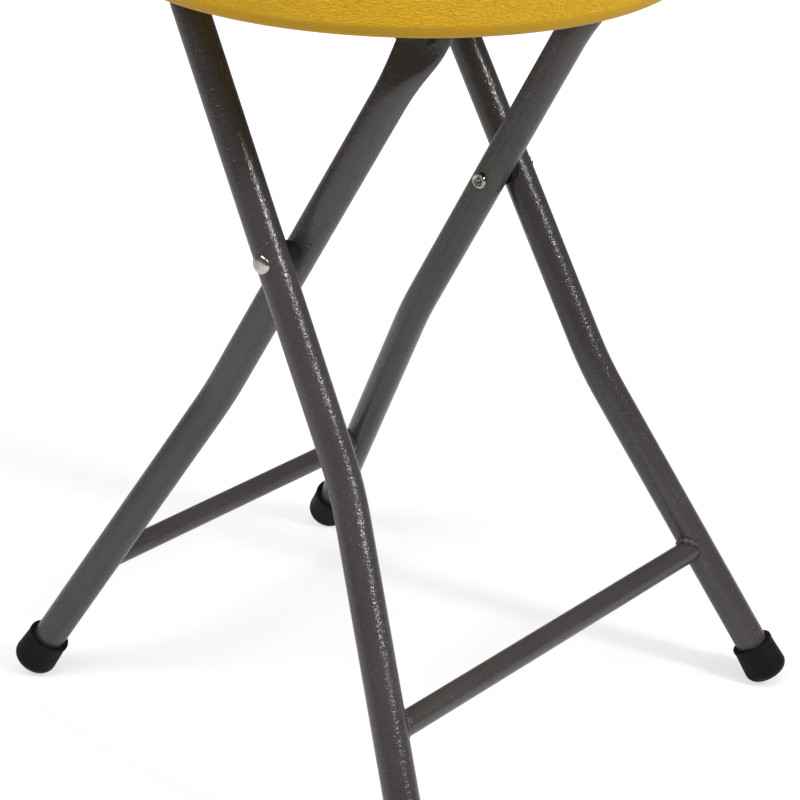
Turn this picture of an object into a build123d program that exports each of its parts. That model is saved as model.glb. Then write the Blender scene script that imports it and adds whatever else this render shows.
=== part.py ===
# Folding stool: two crossing tube frames under a round blow-moulded seat.
#
# Frame of the part: +Z up, floor at z = 0, X along the rivet axis, front at -Y.
# The outer frame has its feet in front and its top bar at the back; the inner
# frame has its feet at the back and is pinned to the seat at the front.
# Left is -X, right is +X. All sizes are in millimetres.

import os
from math import acos, asin, atan2, cos, degrees, pi, radians, sin, tan

from build123d import *

# Tubes
TUBE_D = 19.0
TUBE_WALL = 1.2
CROSSBAR_D = 13.6
CROSSBAR_WALL = 1.0

# Stance of the two frames; shares are of the seat's radius
RIVET_HEIGHT = 301.0
LEG_SPREAD_SHARE = 0.5084
BAR_BACK_SHARE = 0.5181
SCISSOR_GAP = 4.2

# Leg lines, measured along the frame from the rivet
OUTER_TAPER_ANGLE = 3.0
OUTER_SPLAY_ANGLE = 14.2
OUTER_BEND_DROP = 124.0
INNER_TAPER_ANGLE = 2.5
INNER_SPLAY_ANGLE = 12.0
INNER_BEND_DROP = 115.0
SPLAY_BEND_RADIUS = 170.0
TOP_CORNER_RADIUS = 26.0
OUTER_CROSSBAR_DROP = 249.0
INNER_CROSSBAR_DROP = 252.0
WELD_LEG = 2.0
WELD_LENGTH = 3.0

# Seat shell
SEAT_RADIUS = 155.0
SEAT_THICKNESS = 28.5
RIM_HEIGHT = 441.5
RIM_WIDTH = 16.0
RECESS_DEPTH = 15.0
RECESS_DRAFT = 1.5
SEAT_SKIN = 2.6
SEAT_SETBACK = 8.8
DISH_DEPTH = 2.0
DISH_FLAT_INSET = 50.0
DISH_CROWN_INSET = 18.0
DISH_BLEND_RADIUS = 90.0
CROWN_BLEND_RADIUS = 40.0
TOP_EDGE_RADIUS = 9.0
LOWER_EDGE_RADIUS = 7.0
RECESS_EDGE_RADIUS = 4.0

# Kiss-off dimples that tie the lower skin of the seat to the upper one
DIMPLE_MOUTH_RADIUS = 8.0
DIMPLE_FLOOR_RADIUS = 4.5
DIMPLE_RING_STEP = 36.0
DIMPLE_MARGIN = 4.0

# Seat rails: front ear for the hinge pin, rear hook for the top bar
RAIL_THICKNESS = 2.0
RAIL_BEND_RADIUS = 1.8
RAIL_FLANGE_WIDTH = 22.0
RAIL_WAIST = 14.0
RAIL_CORNER_RADIUS = 6.0
EAR_DROP = 10.3
EAR_FRONT_REACH = 13.0
EAR_FRONT_RISE = 8.0
EAR_BACK_REACH = 16.0
EAR_CORNER_RADIUS = 5.0
EAR_WAIST_RADIUS = 9.0
HOOK_DROP = 13.5
HOOK_LIP = 6.0
HOOK_CORNER_RADIUS = 5.0
HOOK_EXIT_SLOPE = 62.0
HOOK_PLAY = 0.9
HOOK_TIP_RADIUS = 1.5
BAR_SEAT_CLEARANCE = 0.3

# Seat hinge at the flattened tops of the inner legs
PIN_DROP = 5.0
PIN_D = 6.0
PIN_HEAD_D = 9.0
PIN_HEAD_HEIGHT = 2.4
FLATTEN_LENGTH = 38.0
PAD_BELOW_PIN = 12.0
PAD_SLIT = 0.3
FLATTEN_STEPS = 5
FLATTEN_SEED_ANGLE = 16.0
HINGE_GAP = 3.0
HINGE_WASHER_D = 11.0
HINGE_WASHER_THICKNESS = 2.6

# Scissor rivets and spacers
RIVET_D = 6.0
RIVET_HEAD_D = 10.4
RIVET_HEAD_HEIGHT = 2.6
RIVET_ROLL_LIP = 1.8
RIVET_ROLL_HEIGHT = 1.6
RIVET_END_WALL = 0.8
RIVET_BORE_DEPTH = 7.0
SPACER_D = 15.0

# Rail screws
SCREW_D = 4.0
SCREW_LENGTH = 9.0
SCREW_HEAD_D = 8.4
SCREW_HEAD_HEIGHT = 2.6
SCREW_BOSS_WALL = 2.5
SCREW_FROM_PIN = 34.0
SCREW_FROM_BAR = 24.0

# Rubber foot caps
FOOT_WALL = 2.6
FOOT_GRIP = 16.5
FOOT_CORNER_RADIUS = 6.0
FOOT_END_RADIUS = 30.0
FOOT_FLARE = 0.8
FOOT_RIM_HEIGHT = 2.4
FOOT_RIM_STEP = 0.3
FOOT_RIM_RADIUS = 0.6
FOOT_END_GAP = 1.0
FOOT_FLAT_DEPTH = 0.5

# Clearances
FIT = 0.05
RUNNING_FIT = 0.08
RUNNING_GAP = 0.35

# Values worked out from the sizes above
TUBE_R = TUBE_D / 2
CROSSBAR_R = CROSSBAR_D / 2
PIN_R = PIN_D / 2
RIVET_R = RIVET_D / 2
INNER_HALF_WIDTH = LEG_SPREAD_SHARE * SEAT_RADIUS
OUTER_HALF_WIDTH = INNER_HALF_WIDTH + TUBE_D + SCISSOR_GAP
SEAT_TOP = RIM_HEIGHT + SEAT_THICKNESS
UNDERSIDE = RIM_HEIGHT + RECESS_DEPTH
SEAT_FLAT = SEAT_TOP - DISH_DEPTH
DISH_FLAT_RADIUS = SEAT_RADIUS - DISH_FLAT_INSET
DISH_CROWN_RADIUS = SEAT_RADIUS - DISH_CROWN_INSET
RECESS_FLAT_RADIUS = SEAT_RADIUS - RIM_WIDTH - RECESS_DRAFT - RECESS_EDGE_RADIUS
FLANGE_BOTTOM = UNDERSIDE - RAIL_THICKNESS
BAR_HEIGHT = FLANGE_BOTTOM - BAR_SEAT_CLEARANCE - TUBE_R
BAR_Y = BAR_BACK_SHARE * SEAT_RADIUS
TILT = atan2(BAR_Y, BAR_HEIGHT - RIVET_HEIGHT)
TILT_SIN = sin(TILT)
TILT_COS = cos(TILT)


def up_frame(height):
    """Distance along a tilted frame from the rivet axis to a height above the floor."""
    return (height - RIVET_HEIGHT) / TILT_COS


BAR_REACH = up_frame(BAR_HEIGHT)
PIN_HEIGHT = RIM_HEIGHT - PIN_DROP
PIN_REACH = up_frame(PIN_HEIGHT)
PIN_Y = -PIN_REACH * TILT_SIN

# Flattened leg end: the tube's outline keeps its length while it is pressed flat
PAD_THICKNESS = 2 * TUBE_WALL
PAD_WIDTH = PAD_THICKNESS + pi * (TUBE_D - PAD_THICKNESS) / 2
PAD_START = PIN_REACH - PAD_BELOW_PIN
FLATTEN_START = PAD_START - FLATTEN_LENGTH

OUTER_PLANE = Plane(origin=(0, 0, RIVET_HEIGHT), x_dir=(1, 0, 0), z_dir=(0, -TILT_COS, TILT_SIN))
INNER_PLANE = Plane(origin=(0, 0, RIVET_HEIGHT), x_dir=(1, 0, 0), z_dir=(0, -TILT_COS, -TILT_SIN))


def leg_x(reach, half_width, taper, splay, bend_drop):
    """Half width of a frame at a distance along it; reach is positive above the rivet."""
    x = half_width - reach * tan(radians(taper))
    if reach < -bend_drop:
        x += (-bend_drop - reach) * (tan(radians(splay)) - tan(radians(taper)))
    return x


def outer_x(reach):
    return leg_x(reach, OUTER_HALF_WIDTH, OUTER_TAPER_ANGLE, OUTER_SPLAY_ANGLE, OUTER_BEND_DROP)


def inner_x(reach):
    return leg_x(reach, INNER_HALF_WIDTH, INNER_TAPER_ANGLE, INNER_SPLAY_ANGLE, INNER_BEND_DROP)


PAD_X = inner_x(PAD_START)
RAIL_INSIDE = PAD_X + PAD_THICKNESS / 2 + HINGE_GAP
RAIL_OUTSIDE = RAIL_INSIDE + RAIL_THICKNESS
RAIL_FRONT = PIN_Y - EAR_FRONT_REACH
RAIL_BACK = BAR_Y + TUBE_R + HOOK_PLAY + HOOK_LIP


def swept(path, radius):
    """Round bar along a path."""
    start = Plane(origin=path @ 0, z_dir=path % 0)
    return sweep(start * Circle(radius), path=path)


def across(x_from, x_to, radius, y, z):
    """Round bar parallel to X between two x values."""
    middle = Pos((x_from + x_to) / 2, y, z)
    return middle * Rot(0, 90, 0) * Cylinder(radius, abs(x_to - x_from))


def mirrored(part):
    return mirror(part, about=Plane.YZ)


# Foot caps
FOOT_R = TUBE_R + FOOT_WALL
FOOT_END_R = FOOT_R + FOOT_FLARE
FOOT_CORNER_AT = FOOT_END_R - FOOT_CORNER_RADIUS
FOOT_END_ANGLE = asin(FOOT_CORNER_AT / (FOOT_END_RADIUS - FOOT_CORNER_RADIUS))


def foot_centre(splay):
    """Distance along the frame to the middle of the foot's rounding, which stands on the floor."""
    lean = acos(cos(radians(splay)) * TILT_COS)
    height = FOOT_CORNER_AT * sin(lean) + FOOT_CORNER_RADIUS
    if lean < FOOT_END_ANGLE:
        back = (FOOT_END_RADIUS - FOOT_CORNER_RADIUS) * cos(FOOT_END_ANGLE)
        height = FOOT_END_RADIUS - back * cos(lean)
    return up_frame(height - FOOT_FLAT_DEPTH)


OUTER_FOOT = foot_centre(OUTER_SPLAY_ANGLE)
INNER_FOOT = foot_centre(INNER_SPLAY_ANGLE)


def leg_end(foot, x_at, splay):
    """End point of the tube, a little above the middle of the foot's rounding."""
    lift = FOOT_END_GAP * cos(radians(splay))
    return (x_at(foot + lift), foot + lift)


def foot_section():
    """Half section of a cap in (radius, distance down the leg): cup, rolled rim, rounded end."""
    bore = TUBE_R + FIT
    top = -(FOOT_END_GAP + FOOT_GRIP)
    rim = FOOT_R + FOOT_RIM_STEP
    side = Polyline(
        (0, -FOOT_END_GAP),
        (bore, -FOOT_END_GAP),
        (bore, top),
        (rim, top),
        (rim, top + FOOT_RIM_HEIGHT),
        (FOOT_R, top + FOOT_RIM_HEIGHT + FOOT_RIM_STEP),
        (FOOT_END_R, 0),
    )
    turn = 90 - degrees(FOOT_END_ANGLE)
    corner = CenterArc((FOOT_CORNER_AT, 0), FOOT_CORNER_RADIUS, 0, turn)
    end_middle = -(FOOT_END_RADIUS - FOOT_CORNER_RADIUS) * cos(FOOT_END_ANGLE)
    end = CenterArc((0, end_middle), FOOT_END_RADIUS, turn, 90 - turn)
    middle = Line((0, end_middle + FOOT_END_RADIUS), (0, -FOOT_END_GAP))
    section = make_face([side, corner, end, middle])
    mouth = [v for v in section.vertices() if v.Y < top + FIT or v.X > rim - FIT]
    return fillet(mouth, FOOT_RIM_RADIUS)


def foot_cap(plane, foot, x_at, splay):
    """Rubber cap on the right leg, with a small flat where it meets the floor."""
    down = radians(splay)
    axis = plane.from_local_coords(Vector(sin(down), -cos(down), 0)) - plane.origin
    centre = plane.from_local_coords(Vector(x_at(foot), foot, 0))
    cap = Plane(origin=centre, z_dir=axis) * revolve(Plane.XZ * foot_section(), Axis.Z)
    reach = 4 * FOOT_END_R
    above_floor = Pos(centre.X, centre.Y, reach / 2) * Box(reach, reach, reach)
    return cap & above_floor


# Outer frame: one tube bent to an upside-down U
def outer_path():
    end_x, end_reach = leg_end(OUTER_FOOT, outer_x, OUTER_SPLAY_ANGLE)
    right = [
        (end_x, end_reach),
        (outer_x(-OUTER_BEND_DROP), -OUTER_BEND_DROP),
        (outer_x(BAR_REACH), BAR_REACH),
    ]
    left = [(-x, reach) for x, reach in reversed(right)]
    radii = [SPLAY_BEND_RADIUS, TOP_CORNER_RADIUS, TOP_CORNER_RADIUS, SPLAY_BEND_RADIUS]
    return OUTER_PLANE * FilletPolyline(*right, *left, radius=radii)


outer_line = outer_path()
outer_bar = swept(outer_line, TUBE_R)
outer_frame_tube = outer_bar - swept(outer_line, TUBE_R - TUBE_WALL)
for side in (-1, 1):
    hole_from = side * (OUTER_HALF_WIDTH - TUBE_D)
    hole_to = side * (OUTER_HALF_WIDTH + TUBE_D)
    outer_frame_tube -= across(hole_from, hole_to, RIVET_R + FIT, 0, RIVET_HEIGHT)


# Inner legs: tube, pressed transition, flat pad with a rounded end
def round_outline(diameter):
    """Circle in four arcs that match the four edges of a flattened outline."""
    half = FLATTEN_SEED_ANGLE / 2
    turns = [(half, 180 - 2 * half), (180 - half, 2 * half), (180 + half, 180 - 2 * half), (-half, 2 * half)]
    return make_face([CenterArc((0, 0), diameter / 2, start, size) for start, size in turns])


def flat_outline(diameter, thickness):
    """Outline of a round tube pressed to a thickness along local X; its length stays the same."""
    radius = thickness / 2
    half = pi * (diameter - thickness) / 4
    return make_face([
        CenterArc((0, half), radius, 0, 180),
        Line((-radius, half), (-radius, -half)),
        CenterArc((0, -half), radius, 180, 180),
        Line((radius, -half), (radius, half)),
    ])


def flattened(diameter, flat_thickness):
    """Pressed transition from a round tube to a flat one."""
    sections = []
    for step in range(FLATTEN_STEPS + 1):
        share = step / FLATTEN_STEPS
        thickness = diameter - (diameter - flat_thickness) * (1 - cos(pi * share / 2))
        outline = round_outline(diameter) if step == 0 else flat_outline(diameter, thickness)
        reach = FLATTEN_START + FLATTEN_LENGTH * share
        lean = radians(INNER_TAPER_ANGLE * (1 - share))
        along = (-sin(lean), cos(lean), 0)
        place = Plane(origin=(inner_x(reach), reach, 0), x_dir=(cos(lean), sin(lean), 0), z_dir=along)
        sections.append(INNER_PLANE * (place * outline))
    return loft(sections)


def inner_path():
    end_x, end_reach = leg_end(INNER_FOOT, inner_x, INNER_SPLAY_ANGLE)
    points = [
        (end_x, end_reach),
        (inner_x(-INNER_BEND_DROP), -INNER_BEND_DROP),
        (inner_x(FLATTEN_START), FLATTEN_START),
    ]
    return INNER_PLANE * FilletPolyline(*points, radius=SPLAY_BEND_RADIUS)


def flat_pad():
    """Flat end of the leg, its faces square to the hinge pin, rounded about the pin."""
    place = Plane(origin=(PAD_X, PAD_START, 0), x_dir=(1, 0, 0), z_dir=(0, 1, 0))
    strip = extrude(place * flat_outline(TUBE_D, PAD_THICKNESS), PAD_BELOW_PIN + PAD_WIDTH / 2)
    side = Plane(origin=(PAD_X, PIN_REACH, 0), x_dir=(0, 0, -1), z_dir=(1, 0, 0))
    shape = Circle(PAD_WIDTH / 2) + Pos(0, -PAD_WIDTH / 2) * Rectangle(2 * PAD_WIDTH, PAD_WIDTH)
    return INNER_PLANE * (strip & extrude(side * shape, PAD_THICKNESS, both=True))


inner_line = inner_path()
inner_bar = swept(inner_line, TUBE_R)
inner_leg_right = inner_bar + flattened(TUBE_D, PAD_THICKNESS) + flat_pad()
inner_leg_right -= swept(inner_line, TUBE_R - TUBE_WALL) + flattened(TUBE_D - 2 * TUBE_WALL, PAD_SLIT)
inner_leg_right -= across(
    INNER_HALF_WIDTH - TUBE_D, INNER_HALF_WIDTH + TUBE_D, RIVET_R + RUNNING_FIT, 0, RIVET_HEIGHT
)
inner_leg_right -= across(PAD_X - TUBE_D, PAD_X + TUBE_D, PIN_R + RUNNING_FIT, PIN_Y, PIN_HEIGHT)


# Crossbars: round tube, coped to the legs and welded all round
def crossbar(plane, x_at, drop, legs):
    place = plane.from_local_coords(Vector(0, -drop, 0))
    reach_x = x_at(-drop)
    bar = across(-reach_x, reach_x, CROSSBAR_R, place.Y, place.Z)
    weld_start = reach_x - TUBE_R - WELD_LENGTH
    for side in (-1, 1):
        turn = Pos(side * (weld_start + WELD_LENGTH / 2), place.Y, place.Z) * Rot(0, side * 90, 0)
        bar += turn * Cone(CROSSBAR_R, CROSSBAR_R + WELD_LEG, WELD_LENGTH)
        bar += across(side * (reach_x - TUBE_R), side * reach_x, CROSSBAR_R + WELD_LEG, place.Y, place.Z)
    bar -= across(-reach_x, reach_x, CROSSBAR_R - CROSSBAR_WALL, place.Y, place.Z)
    for leg in legs:
        bar -= leg
    return bar


outer_crossbar = crossbar(OUTER_PLANE, outer_x, OUTER_CROSSBAR_DROP, [outer_bar])
inner_legs = [inner_bar, mirrored(inner_bar)]
inner_crossbar = crossbar(INNER_PLANE, inner_x, INNER_CROSSBAR_DROP, inner_legs)


# Rivets: domed head outside, shank, rolled hollow end inside
def dome_arc(base, radius, height):
    """Arc of a domed head from its rim at base to its crown on the axis."""
    ball = (radius**2 + height**2) / (2 * height)
    half_angle = asin(radius / ball) / 2
    centre = base + height - ball
    halfway = (centre + ball * cos(half_angle), ball * sin(half_angle))
    return ThreePointArc((base, radius), halfway, (base + height, 0))


def rolled_rivet(roll_x, head_x, shank_r, head_d, head_height, y, z):
    """Rivet along X with its rolled end at roll_x and the seat of its head at head_x."""
    roll_r = shank_r + RIVET_ROLL_LIP
    bore_r = shank_r - RIVET_END_WALL
    mouth = roll_x - RIVET_ROLL_HEIGHT
    bottom = mouth + RIVET_BORE_DEPTH
    outline = [
        Polyline((bottom, 0), (bottom, bore_r), (mouth, bore_r)),
        EllipticalCenterArc((roll_x, bore_r), RIVET_ROLL_HEIGHT, roll_r - bore_r, 90, arc_size=90),
        Polyline((roll_x, roll_r), (roll_x, shank_r), (head_x, shank_r), (head_x, head_d / 2)),
        dome_arc(head_x, head_d / 2, head_height),
        Line((head_x + head_height, 0), (bottom, 0)),
    ]
    return Pos(0, y, z) * revolve(make_face(outline), Axis.X)


def scissor_rivet():
    outer_lean = radians(OUTER_TAPER_ANGLE)
    inner_lean = radians(INNER_TAPER_ANGLE)
    head_x = OUTER_HALF_WIDTH + TUBE_R / cos(outer_lean) + RIVET_HEAD_D / 2 * tan(outer_lean)
    roll_r = RIVET_R + RIVET_ROLL_LIP
    roll_x = INNER_HALF_WIDTH - TUBE_R / cos(inner_lean) - roll_r * tan(inner_lean) - RUNNING_GAP
    return rolled_rivet(roll_x, head_x, RIVET_R, RIVET_HEAD_D, RIVET_HEAD_HEIGHT, 0, RIVET_HEIGHT)


def spacer():
    """Bush between the tubes, saddled to the outer one."""
    lean = radians(INNER_TAPER_ANGLE)
    start = INNER_HALF_WIDTH + TUBE_R / cos(lean) + SPACER_D / 2 * tan(lean) + RUNNING_GAP
    bush = across(start, OUTER_HALF_WIDTH, SPACER_D / 2, 0, RIVET_HEIGHT)
    bush -= across(INNER_HALF_WIDTH, OUTER_HALF_WIDTH, RIVET_R + FIT, 0, RIVET_HEIGHT)
    return bush - outer_bar


scissor_rivet_right = scissor_rivet()
scissor_spacer_right = spacer()


# Seat rails
def rail_outline():
    """Side view of a rail in (y, z): ear in front, waist, hook at the back."""
    waist = UNDERSIDE - RAIL_WAIST
    ear_bottom = PIN_HEIGHT - EAR_DROP
    ear_back = PIN_Y + EAR_BACK_REACH
    hook_bottom = BAR_HEIGHT - HOOK_DROP
    points = [
        (RAIL_FRONT, UNDERSIDE),
        (RAIL_FRONT, PIN_HEIGHT + EAR_FRONT_RISE),
        (PIN_Y, ear_bottom),
        (ear_back, ear_bottom),
        (ear_back + waist - ear_bottom, waist),
        (BAR_Y - 2 * TUBE_R, waist),
        (BAR_Y, hook_bottom),
        (RAIL_BACK, hook_bottom),
        (RAIL_BACK, UNDERSIDE),
    ]
    radii = [
        RAIL_CORNER_RADIUS,
        EAR_CORNER_RADIUS,
        RAIL_CORNER_RADIUS,
        EAR_WAIST_RADIUS,
        RAIL_CORNER_RADIUS,
        HOOK_CORNER_RADIUS,
        HOOK_CORNER_RADIUS,
    ]
    edge = FilletPolyline(*points, radius=radii)
    return make_face([edge, Line(points[-1], points[0])])


def hook_mouth():
    """Round seat for the bar, open along the way in which the bar leaves."""
    radius = TUBE_R + HOOK_PLAY
    length = 2 * HOOK_DROP + TUBE_D
    slope = radians(HOOK_EXIT_SLOPE)
    middle = (BAR_Y - cos(slope) * length / 2, BAR_HEIGHT - sin(slope) * length / 2)
    return Pos(*middle) * SlotCenterToCenter(length, 2 * radius, rotation=HOOK_EXIT_SLOPE)


def hook_tips(web):
    """Sharp corners of the web on both sides of the hook's mouth."""
    slope = radians(HOOK_EXIT_SLOPE)
    tips = []
    for corner in web.vertices():
        y = corner.X - BAR_Y
        z = corner.Y - BAR_HEIGHT
        out = -y * cos(slope) - z * sin(slope)
        aside = abs(y * sin(slope) - z * cos(slope))
        if out > HOOK_PLAY and abs(aside - TUBE_R - HOOK_PLAY) < FIT:
            tips.append(corner)
    return tips


def screw_places():
    """Screw positions on the right flange, as (x, y)."""
    x = RAIL_INSIDE - RAIL_FLANGE_WIDTH / 2
    first = PIN_Y + SCREW_FROM_PIN
    last = BAR_Y - SCREW_FROM_BAR
    return [(x, first), (x, (first + last) / 2), (x, last)]


def seat_rail():
    side_plane = Plane(origin=(RAIL_INSIDE, 0, 0), x_dir=(0, 1, 0), z_dir=(1, 0, 0))
    web = rail_outline() - hook_mouth()
    web = fillet(hook_tips(web), HOOK_TIP_RADIUS)
    web -= Pos(PIN_Y, PIN_HEIGHT) * Circle(PIN_R + FIT)
    rail = extrude(side_plane * web, RAIL_THICKNESS)
    inside = RAIL_INSIDE - RAIL_FLANGE_WIDTH
    middle = Pos((inside + RAIL_OUTSIDE) / 2, (RAIL_FRONT + RAIL_BACK) / 2)
    plate = middle * Rectangle(RAIL_OUTSIDE - inside, RAIL_BACK - RAIL_FRONT)
    inner_corners = plate.vertices().group_by(Axis.X)[0]
    plate = fillet(inner_corners, RAIL_CORNER_RADIUS)
    for x, y in screw_places():
        plate -= Pos(x, y) * Circle(SCREW_D / 2 + FIT)
    rail += Pos(0, 0, FLANGE_BOTTOM) * extrude(plate, RAIL_THICKNESS)
    outside_edge = rail.edges().filter_by(Axis.Y).group_by(Axis.Z)[-1].sort_by(Axis.X)[-1]
    return fillet(outside_edge, RAIL_BEND_RADIUS)


seat_rail_right = seat_rail()


def screw(x, y):
    """Pan-head screw pointing up into the seat."""
    shank_r = SCREW_D / 2
    head_r = SCREW_HEAD_D / 2
    outline = [
        Polyline((0, 0), (-SCREW_LENGTH, 0), (-SCREW_LENGTH, shank_r), (0, shank_r), (0, head_r)),
        dome_arc(0, head_r, SCREW_HEAD_HEIGHT),
        Line((SCREW_HEAD_HEIGHT, 0), (0, 0)),
    ]
    return Pos(x, y, FLANGE_BOTTOM) * Rot(0, 90, 0) * revolve(make_face(outline), Axis.X)


rail_screws = []
for x, y in screw_places():
    rail_screws.append(screw(x, y))
    rail_screws.append(screw(-x, y))


# Seat hinge pins and washers, on the right side
def hinge_pin():
    roll_x = PAD_X - PAD_THICKNESS / 2 - RUNNING_GAP
    return rolled_rivet(roll_x, RAIL_OUTSIDE, PIN_R, PIN_HEAD_D, PIN_HEAD_HEIGHT, PIN_Y, PIN_HEIGHT)


def hinge_washer():
    start = RAIL_INSIDE - HINGE_WASHER_THICKNESS
    disc = across(start, RAIL_INSIDE, HINGE_WASHER_D / 2, PIN_Y, PIN_HEIGHT)
    return disc - across(PAD_X, RAIL_OUTSIDE, PIN_R + FIT, PIN_Y, PIN_HEIGHT)


seat_hinge_pin_right = hinge_pin()
seat_hinge_washer_right = hinge_washer()


# Seat shell: hollow disc with a hanging rim, a flat-bottomed recess and kiss-off dimples
def seat_section(inner_end):
    """Half section in (radius, z) from inner_end outwards."""
    recess = SEAT_RADIUS - RIM_WIDTH
    points = [
        (inner_end, SEAT_FLAT),
        (DISH_FLAT_RADIUS, SEAT_FLAT),
        (DISH_CROWN_RADIUS, SEAT_TOP),
        (SEAT_RADIUS, SEAT_TOP),
        (SEAT_RADIUS, RIM_HEIGHT),
        (recess, RIM_HEIGHT),
        (recess - RECESS_DRAFT, UNDERSIDE),
        (inner_end, UNDERSIDE),
    ]
    radii = [
        DISH_BLEND_RADIUS,
        CROWN_BLEND_RADIUS,
        TOP_EDGE_RADIUS,
        LOWER_EDGE_RADIUS,
        RECESS_EDGE_RADIUS,
        RECESS_EDGE_RADIUS,
    ]
    edge = FilletPolyline(*points, radius=radii)
    return make_face([edge, Line(points[-1], points[0])])


def dimple_places():
    """Rings of dimples that keep clear of the rails and of the rim."""
    keep_out = DIMPLE_MOUTH_RADIUS + DIMPLE_MARGIN
    limit = RECESS_FLAT_RADIUS - keep_out
    rail_inside = RAIL_INSIDE - RAIL_FLANGE_WIDTH - keep_out
    rail_outside = RAIL_OUTSIDE + keep_out
    places = [(0.0, 0.0)]
    ring = 1
    while ring * DIMPLE_RING_STEP <= limit:
        count = 6 * ring
        for index in range(count):
            angle = 2 * pi * (index + 0.5) / count
            x = ring * DIMPLE_RING_STEP * cos(angle)
            y = ring * DIMPLE_RING_STEP * sin(angle)
            if abs(x) < rail_inside or abs(x) > rail_outside:
                places.append((x, y))
        ring += 1
    return places


def seat_shell():
    shell = revolve(Plane.XZ * seat_section(0), Axis.Z)
    inside = offset(seat_section(-DISH_FLAT_RADIUS), -SEAT_SKIN)
    inside &= Pos(SEAT_RADIUS, RIM_HEIGHT) * Rectangle(2 * SEAT_RADIUS, 4 * SEAT_THICKNESS)
    void = revolve(Plane.XZ * inside, Axis.Z)
    dimple_depth = SEAT_FLAT - 2 * SEAT_SKIN - UNDERSIDE
    void_height = SEAT_FLAT - UNDERSIDE
    pits = []
    for x, y in dimple_places():
        foot = Pos(x, y, UNDERSIDE + dimple_depth / 2)
        pits.append(foot * Cone(DIMPLE_MOUTH_RADIUS, DIMPLE_FLOOR_RADIUS, dimple_depth))
        post = Cone(DIMPLE_MOUTH_RADIUS + SEAT_SKIN, DIMPLE_FLOOR_RADIUS + SEAT_SKIN, void_height)
        void -= Pos(x, y, UNDERSIDE + void_height / 2) * post
    holes = []
    hole_depth = SCREW_LENGTH - RAIL_THICKNESS + FIT
    for x, y in screw_places():
        for side in (-1, 1):
            foot = Pos(side * x, y - SEAT_SETBACK, UNDERSIDE)
            boss = Cylinder(SCREW_D / 2 + SCREW_BOSS_WALL, void_height)
            hole = Cylinder(SCREW_D / 2 + FIT, hole_depth)
            void -= foot * Pos(0, 0, void_height / 2) * boss
            holes.append(foot * Pos(0, 0, hole_depth / 2) * hole)
    shell -= void
    for cut in pits + holes:
        shell -= cut
    return Pos(0, SEAT_SETBACK, 0) * shell


# Named pieces
right_pieces = {
    "inner_leg": inner_leg_right,
    "scissor_rivet": scissor_rivet_right,
    "scissor_spacer": scissor_spacer_right,
    "seat_rail": seat_rail_right,
    "seat_hinge_pin": seat_hinge_pin_right,
    "seat_hinge_washer": seat_hinge_washer_right,
    "outer_foot": foot_cap(OUTER_PLANE, OUTER_FOOT, outer_x, OUTER_SPLAY_ANGLE),
    "inner_foot": foot_cap(INNER_PLANE, INNER_FOOT, inner_x, INNER_SPLAY_ANGLE),
}
pieces = {
    "seat_shell": seat_shell(),
    "outer_frame_tube": outer_frame_tube,
    "outer_crossbar": outer_crossbar,
    "inner_crossbar": inner_crossbar,
    "rail_screws": Compound(children=rail_screws),
}
for name, piece in right_pieces.items():
    pieces[name + "_right"] = piece
    pieces[name + "_left"] = mirrored(piece)

os.makedirs("parts", exist_ok=True)
for name, piece in pieces.items():
    export_step(piece, os.path.join("parts", name + ".step"))
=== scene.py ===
from math import atan2, cos, pi, radians, sin, sqrt, tan

import bmesh
import bpy
from mathutils import Matrix, Vector, noise

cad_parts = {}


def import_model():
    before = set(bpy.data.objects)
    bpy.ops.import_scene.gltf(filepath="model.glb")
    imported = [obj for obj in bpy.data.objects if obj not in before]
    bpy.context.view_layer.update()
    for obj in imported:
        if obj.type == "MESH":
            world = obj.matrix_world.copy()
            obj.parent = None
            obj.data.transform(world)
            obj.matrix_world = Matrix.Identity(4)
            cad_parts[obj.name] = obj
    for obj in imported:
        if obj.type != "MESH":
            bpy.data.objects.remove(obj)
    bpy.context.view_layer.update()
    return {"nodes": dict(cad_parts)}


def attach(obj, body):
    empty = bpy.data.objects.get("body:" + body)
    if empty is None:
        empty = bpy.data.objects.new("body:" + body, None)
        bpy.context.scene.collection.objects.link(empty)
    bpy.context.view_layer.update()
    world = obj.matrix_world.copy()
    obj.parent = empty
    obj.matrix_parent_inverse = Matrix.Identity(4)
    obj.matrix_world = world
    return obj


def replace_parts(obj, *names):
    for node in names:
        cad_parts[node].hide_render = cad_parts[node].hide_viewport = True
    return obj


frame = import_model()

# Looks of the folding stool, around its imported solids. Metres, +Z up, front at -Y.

# Camera of the photograph: place, axes from azimuth, elevation and roll, and lens
CAMERA_PLACE = Vector((-0.96824, -0.80716, 0.77631))
CAMERA_AZIMUTH = radians(-50.3262)
CAMERA_ELEVATION = radians(25.0577)
CAMERA_ROLL = radians(1.9856)
CAMERA_LENS = 110.6228

# Lines of the two frames, as in the solids
TUBE_R = 0.0095
CROSSBAR_R = 0.0068
RIVET_HEIGHT = 0.301
TILT = atan2(0.0803055, 0.1437)
OUTER_LEG = {
    "half_width": 0.102002, "taper": 3.0, "splay": 14.2, "bend_drop": 0.124, "bar_drop": 0.249, "lean": 1,
}
INNER_LEG = {
    "half_width": 0.078802, "taper": 2.5, "splay": 12.0, "bend_drop": 0.115, "bar_drop": 0.252, "lean": -1,
}

# Seat heights that its finish follows
SEAT_BAND_Z = 0.4464
SEAT_GRAIN_Z = 0.4500

# Rail screws
SCREW_X = 0.065749
SCREW_Y = (-0.041723, 0.007291, 0.056305)
SCREW_SEAT_Z = 0.4545
SCREW_HEAD_R = 0.0042
SCREW_HEAD_HEIGHT = 0.0026
SCREW_SHANK_R = 0.0019
SCREW_SHANK = 0.0088

# Cross recess of a screw: half arm, half web and height from the head's seat
RECESS_FLOOR = (0.0008, 0.00035, -0.0012)
RECESS_MOUTH = (0.0021, 0.00055, -0.0040)


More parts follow.
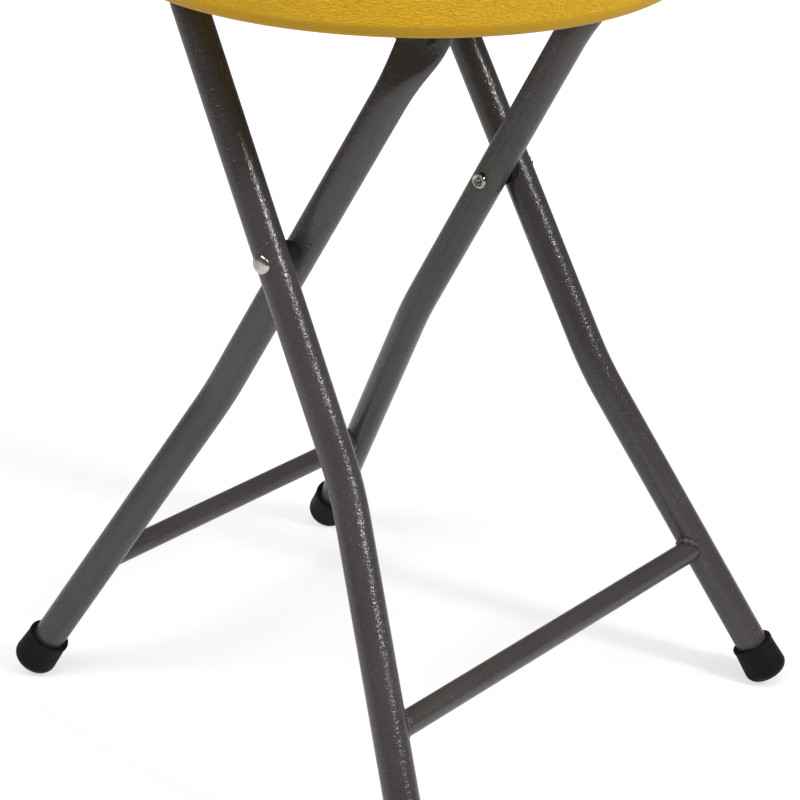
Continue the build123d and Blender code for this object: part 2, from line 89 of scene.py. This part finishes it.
# Materials
class Finish:
    """A node material with short calls for the nodes that the finishes share."""

    def __init__(self, name):
        self.material = bpy.data.materials.new(name)
        self.material.use_nodes = True
        self.tree = self.material.node_tree
        self.shader = self.tree.nodes["Principled BSDF"]
        self.place = self.tree.nodes.new("ShaderNodeTexCoord").outputs["Object"]

    def node(self, kind, settings=None, **inputs):
        made = self.tree.nodes.new(kind)
        for key, value in (settings or {}).items():
            setattr(made, key, value)
        for key, value in inputs.items():
            self.feed(made.inputs[key.replace("_", " ")], value)
        return made

    def feed(self, socket, value):
        if isinstance(value, bpy.types.NodeSocket):
            self.tree.links.new(value, socket)
        else:
            socket.default_value = value

    def noise(self, scale, detail=2.0, roughness=0.5, place=None, distortion=0.0):
        place = place or self.place
        made = self.node(
            "ShaderNodeTexNoise",
            Vector=place, Scale=scale, Detail=detail, Roughness=roughness, Distortion=distortion,
        )
        return made.outputs[0]

    def cells(self, scale, feature="F1", place=None):
        place = place or self.place
        made = self.node("ShaderNodeTexVoronoi", {"feature": feature}, Vector=place, Scale=scale)
        return made.outputs["Distance"]

    def stretched(self, x, y, z, place=None, turn=0.0):
        """Coordinates drawn out by these factors along axes turned about Z."""
        made = self.node(
            "ShaderNodeMapping", {"vector_type": "TEXTURE"},
            Vector=place or self.place, Rotation=(0.0, 0.0, turn), Scale=(x, y, z),
        )
        return made.outputs["Vector"]

    def math(self, operation, first, second=0.0):
        made = self.node("ShaderNodeMath", {"operation": operation})
        self.feed(made.inputs[0], first)
        self.feed(made.inputs[1], second)
        return made.outputs[0]

    def ramp(self, value, low, high, to_low=0.0, to_high=1.0, smooth=False):
        made = self.node("ShaderNodeMapRange", {"interpolation_type": "SMOOTHSTEP" if smooth else "LINEAR"})
        for key, number in (("From Min", low), ("From Max", high), ("To Min", to_low), ("To Max", to_high)):
            made.inputs[key].default_value = number
        self.feed(made.inputs["Value"], value)
        return made.outputs["Result"]

    def blend(self, share, first, second):
        made = self.node("ShaderNodeMix", {"data_type": "RGBA"})
        self.feed(made.inputs[0], share)
        for socket, colour in ((made.inputs[6], first), (made.inputs[7], second)):
            self.feed(socket, colour if isinstance(colour, bpy.types.NodeSocket) else (*colour, 1.0))
        return made.outputs[2]

    def warped(self, scale, amount):
        """Object coordinates pushed about by a noise."""
        push = self.node("ShaderNodeTexNoise", Vector=self.place, Scale=scale, Detail=2.0).outputs["Color"]
        centred = self.node("ShaderNodeVectorMath", {"operation": "SUBTRACT"})
        self.feed(centred.inputs[0], push)
        centred.inputs[1].default_value = (0.5, 0.5, 0.5)
        sized = self.node("ShaderNodeVectorMath", {"operation": "SCALE"})
        self.feed(sized.inputs[0], centred.outputs["Vector"])
        sized.inputs["Scale"].default_value = amount
        moved = self.node("ShaderNodeVectorMath", {"operation": "ADD"})
        self.feed(moved.inputs[0], self.place)
        self.feed(moved.inputs[1], sized.outputs["Vector"])
        return moved.outputs["Vector"]

    def height(self):
        return self.node("ShaderNodeSeparateXYZ", Vector=self.place).outputs["Z"]

    def relief(self, height, depth):
        """Bump from a 0 to 1 height, with its depth in metres."""
        metres = self.math("MULTIPLY", height, depth)
        made = self.node("ShaderNodeBump", Height=metres, Strength=1.0, Distance=1.0)
        self.feed(self.shader.inputs["Normal"], made.outputs["Normal"])

    def set(self, **values):
        for key, value in values.items():
            self.feed(self.shader.inputs[key.replace("_", " ")], value)
        return self.material


def frame_paint():
    """Dark grey wrinkled powder coat: small lumps and creases that break up its highlights."""
    f = Finish("frame_paint")
    lumps = f.noise(620.0, 1.5, 0.5, f.warped(300.0, 0.0020), 0.8)
    creases = f.cells(780.0, "SMOOTH_F1", f.warped(300.0, 0.0020))
    speckle = f.noise(2300.0, 1.0)
    cloud = f.noise(14.0, 3.0)
    tone = f.math("ADD", f.math("MULTIPLY", speckle, 0.6), f.math("MULTIPLY", cloud, 0.4))
    colour = f.blend(f.ramp(tone, 0.32, 0.68), (0.0345, 0.0318, 0.0303), (0.0590, 0.0545, 0.0520))
    f.relief(f.math("ADD", f.math("MULTIPLY", lumps, 0.75), f.math("MULTIPLY", creases, 0.25)), 0.00037)
    return f.set(
        Base_Color=colour,
        Metallic=0.0,
        Roughness=f.ramp(f.math("ADD", lumps, cloud), 0.6, 1.4, 0.18, 0.25),
        IOR=1.5,
    )


def rail_paint():
    """Plain dark powder coat of the pressed rails, with a fine even texture."""
    f = Finish("rail_paint")
    grain = f.noise(1500.0, 2.0)
    cloud = f.noise(30.0, 3.0)
    colour = f.blend(f.ramp(cloud, 0.35, 0.65), (0.013, 0.0125, 0.012), (0.022, 0.021, 0.020))
    f.relief(grain, 0.00006)
    return f.set(Base_Color=colour, Roughness=f.ramp(grain, 0.3, 0.7, 0.36, 0.5), IOR=1.4)


def seat_plastic():
    """Golden yellow polyethylene: leather wrinkles above, a plain band at the lower edge. Its colour carries
    painted shade, darker in the plain band where the edge turns under and in the creases of the wrinkles.
    """
    f = Finish("seat_plastic")
    flow = f.stretched(2.9, 1.35, 1.0, f.warped(95.0, 0.0048), radians(-50.0))
    wrinkles = f.noise(1050.0, 1.5, 0.5, flow, 0.4)
    swells = f.math("SUBTRACT", f.noise(820.0, 1.0, 0.5, flow, 0.3), 0.5)
    folds = f.ramp(f.math("ABSOLUTE", swells), 0.0, 0.14)
    pores = f.noise(2100.0, 1.0)
    cloud = f.noise(9.0, 2.0)
    plump = f.ramp(wrinkles, 0.32, 0.68)
    leather = f.math("ADD", f.math("MULTIPLY", folds, 0.35), f.math("MULTIPLY", plump, 0.65))
    above = f.ramp(f.height(), SEAT_BAND_Z, SEAT_GRAIN_Z, 0.0, 1.0, True)
    grained = f.math("MULTIPLY", leather, above)
    fine = f.math("MULTIPLY", pores, 0.03)
    f.relief(f.math("ADD", grained, fine), 0.00062)
    # painted shade: the colour tone drops in the plain band at the lower edge and in the wrinkle creases,
    # standing in for shade there; the cloud adds a random tone
    upper = f.math("MULTIPLY", above, f.ramp(leather, 0.0, 1.0, 0.45, 0.80))
    tone = f.math("ADD", upper, f.math("MULTIPLY", cloud, 0.2))
    colour = f.blend(tone, (0.444, 0.246, 0.0038), (0.670, 0.390, 0.0088))
    return f.set(
        Base_Color=colour,
        Roughness=f.ramp(f.math("ADD", pores, grained), 0.4, 1.5, 0.48, 0.58),
        IOR=1.3,
        Subsurface_Weight=0.04,
        Subsurface_Radius=(0.002, 0.001, 0.0003),
        Subsurface_Scale=1.0,
    )


def plated_steel(name, dark, light, rough_low, rough_high):
    """Zinc-plated steel with fine turning marks and a few dull patches."""
    f = Finish(name)
    marks = f.noise(1400.0, 3.0, 0.6, f.stretched(4.0, 1.0, 1.0))
    patch = f.noise(260.0, 3.0)
    f.relief(marks, 0.00002)
    return f.set(
        Base_Color=f.blend(f.ramp(patch, 0.35, 0.7), dark, light),
        Metallic=1.0,
        Roughness=f.ramp(patch, 0.3, 0.7, rough_low, rough_high),
    )


def foot_rubber():
    """Matt black rubber with a fine bloom and a dusty sole."""
    f = Finish("foot_rubber")
    grain = f.noise(1300.0, 3.0, 0.6)
    bloom = f.noise(120.0, 3.0)
    sole = f.ramp(f.height(), 0.0, 0.004, 0.35, 0.0)
    dust = f.math("MULTIPLY", f.math("ADD", sole, f.ramp(bloom, 0.55, 0.8, 0.0, 0.12)), grain)
    f.relief(f.math("ADD", f.math("MULTIPLY", grain, 0.7), f.math("MULTIPLY", bloom, 0.3)), 0.00008)
    return f.set(
        Base_Color=f.blend(dust, (0.0022, 0.0022, 0.0022), (0.022, 0.021, 0.020)),
        Roughness=f.ramp(bloom, 0.3, 0.7, 0.50, 0.64),
        IOR=1.27,
    )


def bush_plastic():
    """Black nylon of the spacers and washers."""
    f = Finish("bush_plastic")
    grain = f.noise(1800.0, 2.0)
    f.relief(grain, 0.00003)
    colour = f.blend(grain, (0.004, 0.004, 0.004), (0.010, 0.010, 0.0095))
    return f.set(Base_Color=colour, Roughness=f.ramp(grain, 0.3, 0.7, 0.48, 0.62), IOR=1.25)


FINISHES = {
    "frame_paint": frame_paint(),
    "rail_paint": rail_paint(),
    "seat_plastic": seat_plastic(),
    "plated_steel": plated_steel("plated_steel", (0.36, 0.35, 0.335), (0.60, 0.59, 0.57), 0.07, 0.14),
    "screw_steel": plated_steel("screw_steel", (0.38, 0.37, 0.34), (0.60, 0.59, 0.55), 0.26, 0.42),
    "foot_rubber": foot_rubber(),
    "bush_plastic": bush_plastic(),
}
NODE_FINISH = {
    "seat_shell": "seat_plastic",
    "outer_frame_tube": "frame_paint",
    "outer_crossbar": "frame_paint",
    "inner_crossbar": "frame_paint",
    "rail_screws": "screw_steel",
    "inner_leg": "frame_paint",
    "scissor_rivet": "plated_steel",
    "scissor_spacer": "bush_plastic",
    "seat_rail": "rail_paint",
    "seat_hinge_pin": "plated_steel",
    "seat_hinge_washer": "bush_plastic",
    "outer_foot": "foot_rubber",
    "inner_foot": "foot_rubber",
}
for name, node in frame["nodes"].items():
    kind = name.removesuffix("_left").removesuffix("_right")
    node.data.materials.clear()
    node.data.materials.append(FINISHES[NODE_FINISH[kind]])


# Pieces
SHARP_ANGLE = radians(35.0)


def add_piece(name, mesh, body, slot):
    for face in mesh.polygons:
        face.use_smooth = True
    piece = bpy.data.objects.new(name, mesh)
    bpy.context.scene.collection.objects.link(piece)
    mesh.materials.append(FINISHES[slot])
    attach(piece, body)
    return piece


def bridge(bm, rings):
    """Faces between each ring of vertices and the next."""
    for here, after in zip(rings, rings[1:]):
        for corner in range(len(here)):
            nxt = (corner + 1) % len(here)
            bm.faces.new((here[corner], here[nxt], after[nxt], after[corner]))


def finished(bm, name):
    """Mesh with its faces turned outwards."""
    bmesh.ops.recalc_face_normals(bm, faces=bm.faces)
    mesh = bpy.data.meshes.new(name)
    bm.to_mesh(mesh)
    bm.free()
    return mesh


def cut_away(piece, cutters):
    """Take the cutters' forms out of a piece and remove them; edges stay crisp."""
    for cutter in cutters:
        bpy.context.scene.collection.objects.link(cutter)
        cut = piece.modifiers.new("cut", "BOOLEAN")
        cut.operation = "DIFFERENCE"
        cut.solver = "EXACT"
        cut.use_self = True
        cut.object = cutter
    bpy.context.view_layer.update()
    done = bpy.data.meshes.new_from_object(piece.evaluated_get(bpy.context.evaluated_depsgraph_get()))
    piece.modifiers.clear()
    piece.data = done
    for face in done.polygons:
        face.use_smooth = True
    done.set_sharp_from_angle(angle=SHARP_ANGLE)
    for cutter in cutters:
        bpy.data.objects.remove(cutter)


def leg_half_width(leg, reach):
    x = leg["half_width"] - reach * tan(radians(leg["taper"]))
    below = -leg["bend_drop"] - reach
    if below > 0:
        x += below * (tan(radians(leg["splay"])) - tan(radians(leg["taper"])))
    return x


INNER_END = -0.3334
SPLAY_BEND_R = 0.170
FLATTEN_START = 0.10522
FLATTEN_LENGTH = 0.038
PIN_REACH = 0.15522
PAD_THICKNESS = 0.0024
PAD_HALF_WIDTH = PAD_THICKNESS / 2 + pi * (2 * TUBE_R - PAD_THICKNESS) / 4
PRESS_EASE_START = 0.75
PRESS_EASE_END = 1.2
LEG_SIDES = 72
BEND_STEPS = 12
PRESS_STEPS = 40
END_STEPS = 16
BORE_R = 0.00308
BORE_SIDES = 48


def pressed_share(share):
    """How far the tube is pressed flat along its transition, easing into the flat end."""
    if share < PRESS_EASE_START:
        return 1 - cos(pi / 2 * share)
    if share > PRESS_EASE_END:
        return 1.0
    span = PRESS_EASE_END - PRESS_EASE_START
    u = (share - PRESS_EASE_START) / span
    left = cos(pi / 2 * PRESS_EASE_START)
    slope = span * pi / 2 * sin(pi / 2 * PRESS_EASE_START)
    return 1 - left * (1 + 2 * u) * (1 - u) ** 2 + slope * u * (1 - u) ** 2


def pressed_outline(thickness, half):
    """Even points round a pressed tube, as (across its flats, along its flats)."""
    radius = thickness / 2
    arc = pi * radius
    points = []
    for corner in range(LEG_SIDES):
        run = (2 * arc + 4 * half) * corner / LEG_SIDES
        if run < half:
            points.append((radius, run))
        elif run < half + arc:
            turn = pi * (run - half) / arc
            points.append((radius * cos(turn), half + radius * sin(turn)))
        elif run < 3 * half + arc:
            points.append((-radius, 2 * half + arc - run))
        elif run < 3 * half + 2 * arc:
            turn = pi * (run - 3 * half - arc) / arc
            points.append((-radius * cos(turn), -half - radius * sin(turn)))
        else:
            points.append((radius, run - 4 * half - 2 * arc))
    return points


def inner_leg_stations():
    """Stations up an inner leg: half width, reach, lean, thickness and half length of the flats."""
    taper, splay = radians(INNER_LEG["taper"]), radians(INNER_LEG["splay"])
    corner = -INNER_LEG["bend_drop"]
    tangent = SPLAY_BEND_R * tan((splay - taper) / 2)
    bend_x = leg_half_width(INNER_LEG, corner) + sin(splay) * tangent
    bend_reach = corner - cos(splay) * tangent
    stations = [(leg_half_width(INNER_LEG, INNER_END), INNER_END, splay, 2 * TUBE_R, 0.0)]
    for step in range(BEND_STEPS + 1):
        lean = splay + (taper - splay) * step / BEND_STEPS
        x = bend_x + SPLAY_BEND_R * (cos(splay) - cos(lean))
        reach = bend_reach + SPLAY_BEND_R * (sin(splay) - sin(lean))
        stations.append((x, reach, lean, 2 * TUBE_R, 0.0))
    last = (PIN_REACH - FLATTEN_START) / FLATTEN_LENGTH
    for step in range(PRESS_STEPS + 1):
        share = last * step / PRESS_STEPS
        reach = FLATTEN_START + FLATTEN_LENGTH * share
        thickness = 2 * TUBE_R - (2 * TUBE_R - PAD_THICKNESS) * pressed_share(share)
        half = pi * (2 * TUBE_R - thickness) / 4
        x = leg_half_width(INNER_LEG, min(reach, FLATTEN_START + FLATTEN_LENGTH))
        stations.append((x, reach, taper * max(0.0, 1 - share), thickness, half))
    for step in range(1, END_STEPS):
        turn = pi / 2 * step / END_STEPS
        half = max(0.0, PAD_HALF_WIDTH * cos(turn) - PAD_THICKNESS / 2)
        stations.append((x, PIN_REACH + PAD_HALF_WIDTH * sin(turn), 0.0, PAD_THICKNESS, half))
    return stations


def bore_cutter(x, reach):
    """Round bar along X that bores an inner leg at a reach."""
    place = Vector((x, -reach * sin(TILT), RIVET_HEIGHT + reach * cos(TILT)))
    bm = bmesh.new()
    bmesh.ops.create_cone(
        bm, cap_ends=True, segments=BORE_SIDES, radius1=BORE_R, radius2=BORE_R, depth=4 * TUBE_R,
        matrix=Matrix.Translation(place) @ Matrix.Rotation(pi / 2, 4, "Y"),
    )
    return bpy.data.objects.new("bore", finished(bm, "bore"))


def inner_tube(name, side, node):
    """Leg of the inner frame: round and splayed below, pressed flat at the top for the hinge pin."""
    bm = bmesh.new()
    rings = []
    for x, reach, lean, thickness, half in inner_leg_stations():
        ring = []
        for across, along in pressed_outline(thickness, half):
            up = reach + across * sin(lean)
            y = -up * sin(TILT) - along * cos(TILT)
            z = RIVET_HEIGHT + up * cos(TILT) - along * sin(TILT)
            ring.append(bm.verts.new((side * (x + across * cos(lean)), y, z)))
        rings.append(ring)
    bridge(bm, rings)
    bm.faces.new(rings[0])
    bm.faces.new(rings[-1])
    piece = add_piece(name, finished(bm, name), "inner_frame", "frame_paint")
    bores = [bore_cutter(side * leg_half_width(INNER_LEG, reach), reach) for reach in (0.0, PIN_REACH)]
    cut_away(piece, bores)
    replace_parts(piece, node)


inner_tube("inner_tube_left", -1, "inner_leg_left")
inner_tube("inner_tube_right", 1, "inner_leg_right")


SADDLE_STEPS = 180
BAR_SINK = 0.0006
WELD_SIDES = 12
WELD_RIPPLES = 19
WELD_R = 0.0020
WELD_SPOT = radians(72.0)


def saddle(leg, side):
    """Line where a crossbar meets a leg: its points, the leg's normals there and the bar's."""
    reach = -leg["bar_drop"]
    splay = radians(leg["splay"])
    along = Vector((side * sin(splay), -leg["lean"] * cos(splay) * sin(TILT), -cos(splay) * cos(TILT)))
    joint = Vector((
        side * leg_half_width(leg, reach),
        leg["lean"] * reach * sin(TILT),
        RIVET_HEIGHT + reach * cos(TILT),
    ))
    x_dir = Vector((1, 0, 0))
    across = x_dir - along * x_dir.dot(along)
    points, leg_normals, bar_normals = [], [], []
    for step in range(SADDLE_STEPS):
        turn = 2 * pi * step / SADDLE_STEPS
        bar_normal = Vector((0, cos(turn), sin(turn)))
        flat = bar_normal * CROSSBAR_R
        offset = flat - along * flat.dot(along)
        a = across.dot(across)
        b = 2 * across.dot(offset)
        c = offset.dot(offset) - TUBE_R**2
        point = flat + x_dir * ((-b - side * sqrt(b * b - 4 * a * c)) / (2 * a))
        points.append(joint + point)
        leg_normals.append((point - along * point.dot(along)).normalized())
        bar_normals.append(bar_normal)
    return points, leg_normals, bar_normals


def crossbar(name, body, leg, node):
    """Round tube whose open ends follow the legs that it is welded to."""
    bm = bmesh.new()
    rings = []
    for side in (-1, 1):
        points, leg_normals, _ = saddle(leg, side)
        rings.append([bm.verts.new(point - normal * BAR_SINK) for point, normal in zip(points, leg_normals)])
    bridge(bm, rings)
    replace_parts(add_piece(name, finished(bm, name), body, "frame_paint"), node)


def weld_bead(name, body, leg, side, seed, swell, thin):
    """Rippled bead on the saddle line, thick on the upper side where the weld ran and thin below."""
    points, leg_normals, bar_normals = saddle(leg, side)
    bm = bmesh.new()
    rings = []
    for step in range(SADDLE_STEPS):
        forward = (points[(step + 1) % SADDLE_STEPS] - points[step - 1]).normalized()
        out = (leg_normals[step] + bar_normals[step]).normalized()
        aside = forward.cross(out).normalized()
        turn = 2 * pi * step / SADDLE_STEPS
        upper = max(0.0, cos(turn - WELD_SPOT)) ** 1.5
        ripple = abs(sin(WELD_RIPPLES * turn / 2 + 0.7 * sin(3 * turn + seed)))
        lump = noise.noise(Vector((3 * cos(turn), 3 * sin(turn), seed)))
        size = WELD_R * (thin + swell * upper) * (0.90 + 0.20 * ripple + 0.50 * lump)
        middle = points[step] + out * upper * (0.0009 * swell + 0.0003 * lump)
        ring = []
        for corner in range(WELD_SIDES):
            angle = 2 * pi * corner / WELD_SIDES
            ring.append(bm.verts.new(middle + (out * cos(angle) + aside * sin(angle)) * size))
        rings.append(ring)
    bridge(bm, rings + rings[:1])
    add_piece(name, finished(bm, name), body, "frame_paint")


crossbar("outer_bar", "outer_frame", OUTER_LEG, "outer_crossbar")
crossbar("inner_bar", "inner_frame", INNER_LEG, "inner_crossbar")
weld_bead("weld_outer_left", "outer_frame", OUTER_LEG, -1, 1.3, 0.70, 0.36)
weld_bead("weld_outer_right", "outer_frame", OUTER_LEG, 1, 4.1, 1.15, 0.12)
weld_bead("weld_inner_left", "inner_frame", INNER_LEG, -1, 6.7, 0.65, 0.30)
weld_bead("weld_inner_right", "inner_frame", INNER_LEG, 1, 9.2, 0.75, 0.20)


RIVET_SIDES = 48
RIVET_SPLITS = 5
RIVET_SPLIT_DEPTH = 0.15
RIVET_MOUTH_R = 0.0030
RIVET_SHANK_R = 0.0030
RIVET_ROLL_X = 0.0681
RIVET_ROLL_MID_R = 0.0036
RIVET_ROLL_R = 0.0010
RIVET_ROLL_SEAT_X = 0.0690
RIVET_HEAD_SEAT_X = 0.1102
RIVET_DOME_X = 0.1109
RIVET_DOME_R = 0.0056
RIVET_DOME_HEIGHT = 0.0019


def rivet_profile():
    """Half outline of a scissor rivet as (distance outwards, radius), from the rolled end to the head."""
    rolled = [(0.0712, 0.0), (0.0710, 0.0017), (0.0684, 0.0021), (0.0676, 0.0025)]
    for step in range(9):
        angle = pi * step / 8
        out, lip = RIVET_ROLL_X - RIVET_ROLL_R * sin(angle), RIVET_ROLL_MID_R - RIVET_ROLL_R * cos(angle)
        rolled.append((out, lip))
    shank = [
        (RIVET_ROLL_SEAT_X, 0.0045),
        (RIVET_ROLL_SEAT_X, RIVET_SHANK_R),
        (RIVET_HEAD_SEAT_X, RIVET_SHANK_R),
        (RIVET_HEAD_SEAT_X, 0.0052),
    ]
    rim = [(0.1103, 0.0056), (0.1107, 0.0057)]
    dome = []
    for step in range(11):
        angle = pi / 2 * step / 10
        dome.append((RIVET_DOME_X + RIVET_DOME_HEIGHT * sin(angle), RIVET_DOME_R * cos(angle)))
    return rolled + shank + rim + dome


def scissor_rivet(name, side, node):
    """Plated rivet: low domed head outside, hollow rolled end with small splits inside."""
    bm = bmesh.new()
    rings = []
    for outwards, radius in rivet_profile():
        mouth = radius < RIVET_MOUTH_R and outwards < RIVET_ROLL_SEAT_X
        depth = RIVET_SPLIT_DEPTH if mouth else 0.0
        ring = []
        for corner in range(RIVET_SIDES):
            angle = 2 * pi * corner / RIVET_SIDES
            spot = radius * (1 + depth * cos(RIVET_SPLITS * angle))
            y, z = spot * cos(angle), RIVET_HEIGHT + spot * sin(angle)
            ring.append(bm.verts.new((side * outwards, y, z)))
        rings.append(ring)
    bridge(bm, rings)
    bmesh.ops.remove_doubles(bm, verts=bm.verts, dist=1e-6)
    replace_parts(add_piece(name, finished(bm, name), "outer_frame", "plated_steel"), node)


scissor_rivet("rivet_left", -1, "scissor_rivet_left")
scissor_rivet("rivet_right", 1, "scissor_rivet_right")


def screw_profile():
    """Half outline of a pan-head screw as (radius, height above the head's seat)."""
    head = []
    for step in range(9):
        angle = pi / 2 * step / 8
        head.append((SCREW_HEAD_R * sin(angle) ** 0.8, -SCREW_HEAD_HEIGHT * (0.35 + 0.65 * cos(angle))))
    head.append((SCREW_HEAD_R, 0.0))
    shank = [(SCREW_SHANK_R, 0.0), (SCREW_SHANK_R, SCREW_SHANK - 0.0015), (0.0004, SCREW_SHANK)]
    return head + shank


def lathe(bm, profile, centre, sides=36):
    rings = []
    for radius, height in profile:
        if radius < 1e-6:
            rings.append([bm.verts.new(centre + Vector((0, 0, height)))])
            continue
        ring = []
        for corner in range(sides):
            angle = 2 * pi * corner / sides
            ring.append(bm.verts.new(centre + Vector((radius * cos(angle), radius * sin(angle), height))))
        rings.append(ring)
    for here, after in zip(rings, rings[1:]):
        for corner in range(sides):
            nxt = (corner + 1) % sides
            if len(here) == 1:
                bm.faces.new((here[0], after[corner], after[nxt]))
            else:
                bm.faces.new((here[corner], here[nxt], after[nxt], after[corner]))
    bm.faces.new(rings[-1])


def cross_cutter(centre, turn):
    """Tapered cross for the driver recess of one screw."""
    bm = bmesh.new()
    for quarter in (0, 1):
        turned = Matrix.Rotation(turn + quarter * pi / 2, 3, "Z")
        for vert in bmesh.ops.create_cube(bm, size=1.0)["verts"]:
            arm, web, height = RECESS_FLOOR if vert.co.z > 0 else RECESS_MOUTH
            vert.co = turned @ Vector((vert.co.x * 2 * arm, vert.co.y * 2 * web, height)) + centre
    return bpy.data.objects.new("screw_recess", finished(bm, "screw_recess"))


def rail_screw_set():
    """Pan-head screws with cross recesses under the seat rails."""
    bm = bmesh.new()
    centres = [Vector((side * SCREW_X, y, SCREW_SEAT_Z)) for side in (-1, 1) for y in SCREW_Y]
    for centre in centres:
        lathe(bm, screw_profile(), centre)
    piece = add_piece("rail_screw_set", finished(bm, "rail_screw_set"), "seat", "screw_steel")
    cut_away(piece, [cross_cutter(centre, 0.4 + 1.1 * index) for index, centre in enumerate(centres)])
    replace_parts(piece, "rail_screws")


rail_screw_set()


# Floor, light and camera
FLOOR_HALF = 8.0
FLOOR_DROP = 0.0003


def floor():
    mesh = bpy.data.meshes.new("floor")
    corners = [(-1, -1), (1, -1), (1, 1), (-1, 1)]
    places = [(x * FLOOR_HALF, y * FLOOR_HALF, -FLOOR_DROP) for x, y in corners]
    mesh.from_pydata(places, [], [(0, 1, 2, 3)])
    piece = bpy.data.objects.new("floor", mesh)
    bpy.context.scene.collection.objects.link(piece)
    f = Finish("floor_white")
    f.set(Base_Color=(0.92, 0.915, 0.91, 1.0), Roughness=0.35)
    tree = f.tree
    seen = tree.nodes.new("ShaderNodeLightPath").outputs["Is Camera Ray"]
    white = f.node("ShaderNodeEmission", Color=(1.0, 1.0, 1.0, 1.0), Strength=1.34)
    gloss = f.node("ShaderNodeBsdfAnisotropic", Color=(1.0, 1.0, 1.0, 1.0), Roughness=0.12)
    shine = f.node("ShaderNodeMixShader", Fac=0.10)
    tree.links.new(white.outputs[0], shine.inputs[1])
    tree.links.new(gloss.outputs[0], shine.inputs[2])
    far = f.node("ShaderNodeVectorMath", {"operation": "LENGTH"})
    f.feed(far.inputs[0], f.place)
    share = f.ramp(far.outputs["Value"], 0.35, 1.1, 0.52, 1.0, True)
    mixed = f.node("ShaderNodeMixShader", Fac=f.math("MULTIPLY", seen, share))
    tree.links.new(f.shader.outputs[0], mixed.inputs[1])
    tree.links.new(shine.outputs[0], mixed.inputs[2])
    tree.links.new(mixed.outputs[0], tree.nodes["Material Output"].inputs["Surface"])
    mesh.materials.append(f.material)


def world():
    made = bpy.data.worlds.new("studio")
    bpy.context.scene.world = made
    made.use_nodes = True
    tree = made.node_tree
    ambient = tree.nodes["Background"]
    ambient.inputs["Color"].default_value = (1.0, 0.985, 0.97, 1.0)
    ambient.inputs["Strength"].default_value = 0.18
    white = tree.nodes.new("ShaderNodeBackground")
    white.inputs["Color"].default_value = (1.0, 1.0, 1.0, 1.0)
    white.inputs["Strength"].default_value = 1.0
    seen = tree.nodes.new("ShaderNodeLightPath").outputs["Is Camera Ray"]
    mixed = tree.nodes.new("ShaderNodeMixShader")
    tree.links.new(seen, mixed.inputs[0])
    tree.links.new(ambient.outputs[0], mixed.inputs[1])
    tree.links.new(white.outputs[0], mixed.inputs[2])
    tree.links.new(mixed.outputs[0], tree.nodes["World Output"].inputs["Surface"])


LIGHT_AIM = Vector((0.0, 0.0, 0.27))


def softbox(name, azimuth, elevation, distance, width, height, watts, colour):
    """Rectangular lamp that looks at the stool; azimuth 0 stands in front, 90 at the right."""
    a, e = radians(azimuth), radians(elevation)
    towards = Vector((sin(a) * cos(e), -cos(a) * cos(e), sin(e)))
    data = bpy.data.lights.new(name, "AREA")
    data.shape = "RECTANGLE"
    data.size, data.size_y = width, height
    data.energy = watts
    data.color = colour
    lamp = bpy.data.objects.new(name, data)
    lamp.location = LIGHT_AIM + towards * distance
    lamp.rotation_mode = "QUATERNION"
    lamp.rotation_quaternion = towards.to_track_quat("Z", "Y")
    bpy.context.scene.collection.objects.link(lamp)


def camera():
    a, e, r = CAMERA_AZIMUTH, CAMERA_ELEVATION, CAMERA_ROLL
    back = Vector((sin(a) * cos(e), -cos(a) * cos(e), sin(e)))
    level = Vector((cos(a), sin(a), 0))
    upright = back.cross(level)
    right = cos(r) * level + sin(r) * upright
    up = cos(r) * upright - sin(r) * level
    data = bpy.data.cameras.new("camera")
    data.sensor_width = 36.0
    data.lens = CAMERA_LENS
    made = bpy.data.objects.new("camera", data)
    turn = Matrix((right, up, back)).transposed().to_4x4()
    made.matrix_world = Matrix.Translation(CAMERA_PLACE) @ turn
    bpy.context.scene.collection.objects.link(made)
    bpy.context.scene.camera = made


floor()
world()
softbox("key", 9.0, 36.0, 2.3, 0.25, 0.56, 29.0, (0.97, 0.965, 1.0))
softbox("top", -20.0, 80.0, 2.0, 1.6, 1.6, 16.5, (1.0, 0.99, 0.98))
softbox("front", 0.0, 56.0, 2.2, 1.2, 0.8, 7.0, (1.0, 0.985, 0.975))
softbox("side", -108.0, 47.0, 2.2, 1.1, 1.1, 28.0, (1.0, 0.99, 0.98))
camera()
bpy.context.scene.view_settings.view_transform = "Standard"
